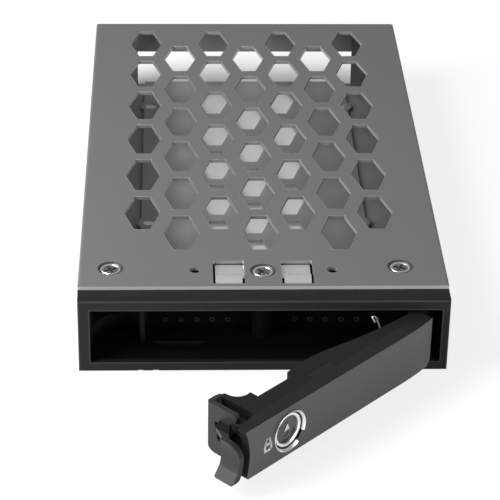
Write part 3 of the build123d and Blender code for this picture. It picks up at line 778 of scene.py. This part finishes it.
class CARRIER_OT_sheet_metal(Operator):
    """Coats the cover and the tray, and adds the pressed rings round the drive's holes"""

    bl_idname = "carrier.sheet_metal"
    bl_label = "Sheet metal"

    def execute(self, context):
        looks = context.scene.carrier_sheet
        edge = tuple(looks.edge_colour)
        coating = CoatedSheet("cover_coating", tuple(looks.cover_colour), looks.grain)
        # painted light on the inner faces of the cover's lips
        coating.paint_light_on_lips(3.0)
        coating.cut_edges(edge, PLATE_UNDER, PLATE_TOP, 0.42)
        # painted shade in the dishes round the screws
        coating.paint_shade_in_dishes(0.3)
        cover = coating.done()
        coating = CoatedSheet("tray_coating", tuple(looks.tray_colour), looks.grain)
        # painted light and shade inside the tray: 1.7 times its grey at the left, 0.7 at the right
        coating.paint_light_inside(1.7, 0.7, 0.5)
        coating.cut_edges(edge, -SHEET, 0.0, 0.48)
        tray = coating.done()
        paint("cover_plate", cover)
        paint("base_tray", tray)
        burr = plated_metal("cut_edge_metal", shade(edge, 0.95)[:3], 0.34)
        piece = new_piece("hexagon_burrs", self.burrs(), burr, "carrier")
        inner, outer, rise, sink = 2.1, 3.55, 0.09, -0.05
        rim = [
            (inner, 0.0), (inner + 0.2, rise), (outer - 0.25, rise),
            (outer, 0.0), (outer - 0.25, sink), (inner + 0.2, sink),
        ]
        for i, (x, y) in enumerate(DRIVE_HOLES):
            place = Matrix.Translation((x * MM, y * MM, 0.0))
            mesh = turned(f"hole_rim_{i}", rim, 64, place)
            piece = new_piece(f"hole_rim_{i}", mesh, tray, "carrier")
        return {"FINISHED"}

    def burrs(self):
        """The turned-over edge that the punch left round each hexagon of the cover."""
        mesh = bpy.data.meshes.new("hexagon_burrs")
        build = bmesh.new()
        profile = ((0.20, 0.004), (0.08, 0.05), (-0.015, -0.06))
        for column in range(-HEX_SIDE_COLUMNS, HEX_SIDE_COLUMNS + 1):
            stagger = HEX_ROW / 2 if column % 2 == 0 else 0.0
            for row in range(HEX_ROWS):
                x = column * HEX_COLUMN
                y = FRONT + HEX_FIRST - stagger + row * HEX_ROW
                rings = []
                for offset, rise in profile:
                    corners = self.hexagon(offset)
                    ring = [Vector((x + dx, y + dy, PLATE_TOP + rise)) for dx, dy in corners]
                    rings.append([build.verts.new(corner * MM) for corner in ring])
                for outer, inner in zip(rings, rings[1:]):
                    for i in range(6):
                        j = (i + 1) % 6
                        build.faces.new((outer[i], inner[i], inner[j], outer[j]))
        bmesh.ops.recalc_face_normals(build, faces=build.faces)
        build.to_mesh(mesh)
        build.free()
        return mesh

    def hexagon(self, offset):
        """Corners of one hexagon about its middle, moved outwards by an offset."""
        half = HEX_WIDTH / 2 + 1.03 * offset
        flat = HEX_FLAT / 2 + 0.8 * offset
        reach = HEX_LENGTH / 2 + offset
        return (
            (-half, 0), (-flat, reach), (flat, reach),
            (half, 0), (flat, -reach), (-flat, -reach),
        )


class CARRIER_OT_bezel(Operator):
    """Gives the bezel its fine black texture, and the vents their rims"""

    bl_idname = "carrier.bezel"
    bl_label = "Bezel"

    def execute(self, context):
        looks = context.scene.carrier_plastic
        colour = tuple(looks.bezel_colour)
        plastic = MouldedPlastic("bezel_plastic_looks", colour, 0.5, 0.0003, 0.1)
        # painted shade in the recess
        plastic.paint_shade_in_recess()
        # painted highlights on the bezel's corners and the mouth of its recess
        plastic.paint_highlights_on_bezel()
        paint("front_bezel", plastic.done())
        # painted light: vent rims 1.6 times lighter than the bezel, standing in for light seen
        # through the vents
        pale = MouldedPlastic("vent_rim_looks", shade(colour, 1.6)[:3], 0.6, 0.0003).done()
        back = Matrix.Rotation(radians(90.0), 4, "X")
        rim = [(0.22, 0.0), (0.32, 0.08), (0.72, 0.08), (0.82, 0.0)]
        for i in range(2 * VENTS_A_SIDE):
            side = -1 if i < VENTS_A_SIDE else 1
            x = side * (VENT_FIRST + VENT_STEP * (i % VENTS_A_SIDE))
            place = Matrix.Translation(Vector((x, VENT_WALL, VENT_HEIGHT)) * MM) @ back
            mesh = turned(f"vent_rim_{i}", rim, 24, place)
            piece = new_piece(f"vent_rim_{i}", mesh, pale, "carrier")
        return {"FINISHED"}


class CARRIER_OT_screws(Operator):
    """Builds the countersunk screws with their cross recesses"""

    bl_idname = "carrier.screws"
    bl_label = "Screws"

    def execute(self, context):
        looks = context.scene.carrier_hardware
        colour = tuple(looks.screw_colour)
        steel = plated_metal("screw_plating", colour, 0.26)
        plating = plated_metal("screw_head_plating", colour, 0.26, head=True)
        depth = looks.recess_depth / MM
        rim, shank = 2.74, 1.45
        low = PLATE_TOP - 6.0
        side = [
            (0.0, HEAD_TOP - HEAD_DISH), (1.75, HEAD_TOP - HEAD_DISH), (2.02, HEAD_TOP - 0.16),
            (2.22, HEAD_TOP), (2.38, HEAD_TOP + 0.06), (2.56, HEAD_TOP + 0.04),
            (rim - 0.04, HEAD_TOP - 0.06), (rim, HEAD_TOP - 0.26),
            (shank, HEAD_TOP - 1.55), (shank, low), (0.0, low),
        ]
        arm, half = 1.75, 0.36
        cross = [
            (arm, -half), (arm, half), (half, half), (half, arm), (-half, arm), (-half, half),
            (-arm, half), (-arm, -half), (-half, -half), (-half, -arm), (half, -arm),
            (half, -half),
        ]
        first_turn, next_turn = 25.0, 20.0
        for i, (x, y) in enumerate(SCREWS):
            turn = Matrix.Rotation(radians(first_turn + next_turn * i), 4, "Z")
            place = Matrix.Translation((x * MM, (FRONT + y) * MM, 0.0)) @ turn
            mesh = turned(f"cover_screw_{i}", side, 64, place)
            piece = new_piece(f"cover_screw_{i}", mesh, plating, "carrier")
            cut_with(piece, prism("cross", cross, HEAD_TOP - depth, HEAD_TOP + 0.5, place))
            piece.data.shade_smooth()
            piece.data.set_sharp_from_angle(angle=radians(25.0))
            if i == 0:
                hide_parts("cover_screws")
        for node in ("floor_screw", "hinge_pin", "latch_pin", "cam_screw"):
            paint(node, steel)
        return {"FINISHED"}


class CARRIER_OT_springs(Operator):
    """Winds the two torsion springs and brightens the contact fingers"""

    bl_idname = "carrier.springs"
    bl_label = "Springs"

    def execute(self, context):
        looks = context.scene.carrier_hardware
        colour = tuple(looks.spring_colour)
        steel = plated_metal("spring_steel_looks", colour, 0.2, 0.08, 0.88)
        paint("contact_spring", steel)
        coil = wire_along("hinge_coil", self.hinge_wire(looks.coil_turns), 0.0004, steel, "carrier")
        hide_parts("handle_spring")
        coil = wire_along("latch_coil", self.latch_wire(), 0.00018, steel, "handle")
        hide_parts("latch_spring")
        return {"FINISHED"}

    def hinge_wire(self, turns):
        """The hinge spring's hooked leg, then its coil round the pin, as points in metres."""
        radius, height, steps = 1.85, 4.4, 24
        low = HANDLE_MID - 2.3
        reach = HINGE.y - 1.0
        leg = [
            (HINGE.x - 12.7, reach, HANDLE_MID - 1.9),
            (HINGE.x - 13.35, reach, HANDLE_MID - 0.5),
            (HINGE.x - 13.1, reach, HANDLE_MID - 0.1),
            (HINGE.x - 12.5, reach, HANDLE_MID - 0.3),
            (HINGE.x - 11.6, reach, HANDLE_MID - 2.4),
            (HINGE.x - 11.3, reach, low - 1.4),
            (HINGE.x - 9.0, reach, low - 1.6),
            (HINGE.x - 0.3, HINGE.y - radius, low),
        ]
        points = [Vector(p) * MM for p in leg]
        for i in range(steps * turns + 1):
            turn = i / steps
            angle = 2 * pi * (turn + 0.75)
            spot = Vector((radius * cos(angle), radius * sin(angle), low + height * turn / turns))
            points.append((HINGE + spot) * MM)
        return points

    def latch_wire(self):
        """The latch spring's coil round its pin, as points in metres."""
        radius, low, height, turns, steps = 1.45, 11.25, 1.05, 3, 20
        points = []
        for i in range(turns * steps + 1):
            angle = 2 * pi * i / steps
            x = LATCH_PIN.x + radius * cos(angle)
            y = LATCH_PIN.y + radius * sin(angle)
            points.append(in_handle(x, y, low + height * i / (turns * steps)))
        return points


class CARRIER_OT_handle(Operator):
    """Finishes the lever, the fascia and the latch, and prints the padlock mark"""

    bl_idname = "carrier.handle"
    bl_label = "Handle"

    def execute(self, context):
        looks = context.scene.carrier_plastic
        colour = tuple(looks.handle_colour)
        plastic = MouldedPlastic("handle_plastic_looks", colour, 0.46, 0.0004)
        # painted shade on the lever's end faces
        plastic.paint_shade_on_end()
        paint("handle_lever", plastic.done())
        plastic = MouldedPlastic("fascia_plastic_looks", colour, 0.38, 0.00025, 0.3)
        # painted light on the fascia's front face
        plastic.paint_light_on_front(tuple(looks.fascia_lit_colour))
        plastic.paint_shade_on_end()
        paint("handle_fascia", plastic.done())
        # painted light: the latch is the handle's black made 3.1 times lighter, as it faces the
        # side light
        plastic = MouldedPlastic("latch_lit_plastic_looks", shade(colour, 3.1)[:3], 0.42, 0.0004)
        # painted shade on the latch's web
        plastic.paint_shade_on_web()
        painted_light = plastic.done()
        paint("latch_rocker", painted_light, LATCH_ANGLE)
        nose = [
            (-73.75, 4.05), (-73.3, 4.25), (-72.5, 4.62), (-72.42, 4.8), (-72.9, 5.15),
            (-73.75, 5.29),
        ]
        place = Matrix.Rotation(TURN, 4, "Z")
        place.translation = HINGE * MM
        mesh = prism("lip_nose", nose, LIP_LOW, LIP_HIGH, place)
        piece = new_piece("lip_nose", mesh, painted_light, "latch")
        ink = Finish("mark_ink", tuple(looks.mark_colour), Roughness=0.6)
        spread = ink.noise(ink.place(), 5000.0)
        pale = ink.mixed(spread, shade(looks.mark_colour, 0.8), shade(looks.mark_colour, 1.15))
        ink.feed("Base Color", pale)
        place = handle_face(MARK_X, FACE, HANDLE_MID - MARK_DROP) @ Matrix.Scale(MARK_SCALE, 4)
        piece = new_piece("padlock_mark", self.padlock(place), ink.material, "handle")
        return {"FINISHED"}

    def padlock(self, place):
        """Outline of a padlock: a square body with an arched shackle, as thin ink."""
        mesh = bpy.data.meshes.new("padlock_mark")
        build = bmesh.new()
        half_width, low, shoulder, arch_low, arch = 1.05, -1.3, 0.35, 1.15, 0.7
        stroke, lift, steps = 0.27, 0.02, 8
        body = [
            (-half_width, low), (half_width, low), (half_width, shoulder),
            (-half_width, shoulder), (-half_width, low),
        ]
        angles = [pi - pi * i / steps for i in range(1, steps)]
        shackle = [(-arch, shoulder), (-arch, arch_low)]
        shackle += [(arch * cos(angle), arch_low + arch * sin(angle)) for angle in angles]
        shackle += [(arch, arch_low), (arch, shoulder)]
        for strip in (body, shackle):
            path = [Vector((x, y, lift)) for x, y in strip]
            for a, b in zip(path, path[1:]):
                along = (b - a).normalized() * stroke
                side = Vector((-along.y, along.x, 0.0))
                start = a - along
                end = b + along
                corners = (start - side, end - side, end + side, start + side)
                build.faces.new([build.verts.new(place @ (p * MM)) for p in corners])
        bmesh.ops.recalc_face_normals(build, faces=build.faces)
        build.to_mesh(mesh)
        build.free()
        return mesh


class CARRIER_OT_lock(Operator):
    """Builds the lock's split chrome ring, its rim and the keyed plug"""

    bl_idname = "carrier.lock"
    bl_label = "Lock"

    def execute(self, context):
        looks = context.scene.carrier_hardware
        colour = tuple(looks.chrome_colour)
        chrome = plated_metal("lock_plating", colour, 0.24, 0.05, 0.92)
        face = handle_face(LOCK_X, FACE, HANDLE_MID)
        ring = [
            (5.08, 0.0), (5.54, 0.0), (5.60, 0.40), (5.54, 0.46), (5.44, 0.42), (5.0, -0.12),
            (5.0, -1.5), (5.04, -1.6), (5.08, -1.6),
        ]
        mesh = turned("chrome_cup", ring, 84, face, RING_GAP_AT + RING_GAP / 2, 360.0 - RING_GAP)
        piece = new_piece("chrome_cup", mesh, chrome, "handle")
        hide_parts("lock_ring")
        outer, bore, deep = 4.5, 3.76, -8.6
        tube = [
            (outer, deep), (outer, -1.60), (4.62, -1.55), (4.62, -0.50), (4.52, -0.38),
            (4.30, -0.33), (4.02, -0.40), (3.80, -0.62), (bore, -1.0), (bore, deep),
        ]
        piece = new_piece("lock_tube", turned("lock_tube", tube, 96, face), chrome, "handle")
        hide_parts("lock_housing")
        dark = plated_metal("plug_metal", shade(colour, 0.13)[:3], 0.22, 0.1)
        paint("lock_plug", dark)
        wide, tall, plug_face = 0.64, 2.19, -1.3
        slot = [(-wide, -tall), (wide, -tall), (wide, tall), (-wide, tall)]
        mesh = prism("key_shutter", slot, plug_face - 0.7, plug_face, face)
        piece = new_piece("key_shutter", mesh, dark, "lock")
        facet = [(0.55, 1.25), (-0.6, -0.75), (1.5, -0.6)]
        bright = plated_metal("facet_metal", shade(colour, 0.8)[:3], 0.2, 0.1)
        mesh = prism("plug_facet", facet, plug_face, plug_face + 0.18, face, 0.05)
        piece = new_piece("plug_facet", mesh, bright, "lock")
        cam = plated_metal("cam_plating", tuple(looks.screw_colour), 0.32, 0.12)
        paint("lock_cam", cam)
        return {"FINISHED"}


class CARRIER_OT_studio(Operator):
    """Sets the floor, the backdrop, the lights and the camera"""

    bl_idname = "carrier.studio"
    bl_label = "Studio"

    def execute(self, context):
        looks = context.scene.carrier_studio
        scene = context.scene
        self.floor(scene)
        self.room(scene, looks.sky_level)
        front = (0.0, -0.13, 0.0)
        middle = (0.0, -0.03, 0.0)
        self.lamp("key", (0.55, -0.75, 0.32), front, 0.5, looks.key_power)
        self.lamp("side", (-0.75, -0.45, 0.22), front, 0.4, looks.side_power)
        self.lamp("overhead", (-0.28, -0.12, 0.30), middle, 0.25, looks.top_power)
        self.camera(scene)
        scene.view_settings.view_transform = "Standard"
        return {"FINISHED"}

    def floor(self, scene):
        """White paper that glows for the camera, with a shadow painted darker on it below and
        behind the part.
        """
        mesh = bpy.data.meshes.new("studio_floor")
        build = bmesh.new()
        level = (FLOOR - PAPER_DROP) * MM
        left, right, near, far = -6, 6, -4, 12
        corners = ((left, near), (right, near), (right, far), (left, far))
        build.faces.new([build.verts.new((x, y, level)) for x, y in corners])
        build.to_mesh(mesh)
        build.free()
        floor = bpy.data.objects.new("studio_floor", mesh)
        scene.collection.objects.link(floor)
        paper = Finish("studio_paper", PAPER, Roughness=0.9, Specular_IOR_Level=0.1)
        x, y = paper.spot()[:2]
        # painted shadow: darker paper, and less glow, below and behind the part
        below = x.size().fall(*SHADOW_SIDE) * y.rise(*SHADOW_FRONT) * y.fall(*SHADOW_REAR)
        paper.feed("Base Color", paper.mixed(below, (*PAPER, 1.0), PAPER_SHADOW))
        rays = paper.node("ShaderNodeLightPath")
        share = paper.term(rays, "Is Camera Ray") * (PAPER_GLOW - below * GLOW_LOST_IN_SHADOW)
        share = share.most(paper.term(rays, "Is Glossy Ray") * PAPER_IN_GLOSS)
        glow = paper.node("ShaderNodeEmission", {}, {"Color": WHITE, "Strength": 1.0})
        shaders = {0: share, 1: paper.term(paper.shader), 2: paper.term(glow)}
        blend = paper.node("ShaderNodeMixShader", {}, shaders)
        paper.tree.links.new(blend.outputs[0], paper.output.inputs["Surface"])
        mesh.materials.append(paper.material)

    def room(self, scene, sky_level):
        """Even light from all round, in a room that the camera sees as white."""
        scene.world = bpy.data.worlds.new("studio_room")
        scene.world.use_nodes = True
        room = Graph(scene.world.node_tree)
        rays = room.node("ShaderNodeLightPath")
        white = room.node("ShaderNodeBackground", {}, {"Color": WHITE, "Strength": 1.0})
        even = room.node("ShaderNodeBackground", {}, {"Color": WHITE, "Strength": sky_level})
        seen = room.term(rays, "Is Camera Ray")
        shaders = {0: seen, 1: room.term(even), 2: room.term(white)}
        blend = room.node("ShaderNodeMixShader", {}, shaders)
        room.node("ShaderNodeOutputWorld", {}, {"Surface": room.term(blend)})

    def lamp(self, name, place, target, size, power):
        """A square soft light at a place, turned to a target, in metres and watts."""
        data = bpy.data.lights.new(name, "AREA")
        data.shape = "SQUARE"
        data.size = size
        data.energy = power
        lamp = bpy.data.objects.new(name, data)
        lamp.location = place
        look = Vector(target) - Vector(place)
        lamp.rotation_euler = look.to_track_quat("-Z", "Y").to_euler()
        bpy.context.scene.collection.objects.link(lamp)

    def camera(self, scene):
        """The photograph's view: pitched down 30 degrees, turned and rolled a little."""
        pitch, yaw, roll = radians(PITCH), radians(YAW), radians(ROLL)
        ahead = Vector((sin(yaw) * cos(pitch), cos(yaw) * cos(pitch), -sin(pitch)))
        right = Vector((cos(yaw), -sin(yaw), 0.0))
        up = right.cross(ahead)
        across = cos(roll) * right + sin(roll) * up
        above = -sin(roll) * right + cos(roll) * up
        data = bpy.data.cameras.new("photo_camera")
        data.sensor_fit = "HORIZONTAL"
        data.sensor_width = SENSOR
        data.lens = LENS
        data.clip_start = 0.01
        data.clip_end = 50.0
        camera = bpy.data.objects.new("photo_camera", data)
        grid = Matrix((across, above, -ahead)).transposed().to_4x4()
        grid.translation = CAMERA_PLACE * MM
        camera.matrix_world = grid
        scene.collection.objects.link(camera)
        scene.camera = camera


PIECES = (
    CARRIER_OT_sheet_metal,
    CARRIER_OT_bezel,
    CARRIER_OT_screws,
    CARRIER_OT_springs,
    CARRIER_OT_handle,
    CARRIER_OT_lock,
    CARRIER_OT_studio,
)


class CARRIER_PT_panel(Panel):
    """Lists the steps that dress the carrier, and its sizes and colours"""

    bl_label = "Drive carrier"
    bl_idname = "CARRIER_PT_panel"
    bl_space_type = "VIEW_3D"
    bl_region_type = "UI"
    bl_category = "Drive carrier"

    def draw(self, context):
        layout = self.layout
        for step in PIECES:
            layout.operator(step.bl_idname)
        groups = ("carrier_sheet", "carrier_plastic", "carrier_hardware", "carrier_studio")
        for group in groups:
            box = layout.box()
            looks = getattr(context.scene, group)
            for name in looks.bl_rna.properties.keys():
                if name not in ("rna_type", "name"):
                    box.prop(looks, name)


CLASSES = (SheetLooks, PlasticLooks, HardwareLooks, StudioLooks, *PIECES, CARRIER_PT_panel)


def register():
    """Adds the classes and the groups of sizes and colours."""
    for cls in CLASSES:
        bpy.utils.register_class(cls)
    bpy.types.Scene.carrier_sheet = PointerProperty(type=SheetLooks)
    bpy.types.Scene.carrier_plastic = PointerProperty(type=PlasticLooks)
    bpy.types.Scene.carrier_hardware = PointerProperty(type=HardwareLooks)
    bpy.types.Scene.carrier_studio = PointerProperty(type=StudioLooks)


def unregister():
    """Removes what register added."""
    del bpy.types.Scene.carrier_studio
    del bpy.types.Scene.carrier_hardware
    del bpy.types.Scene.carrier_plastic
    del bpy.types.Scene.carrier_sheet
    for cls in reversed(CLASSES):
        bpy.utils.unregister_class(cls)


def main():
    """Dresses the carrier step by step."""
    register()
    bpy.ops.carrier.sheet_metal()
    bpy.ops.carrier.bezel()
    bpy.ops.carrier.screws()
    bpy.ops.carrier.springs()
    bpy.ops.carrier.handle()
    bpy.ops.carrier.lock()
    bpy.ops.carrier.studio()


if __name__ == "__main__":
    main()
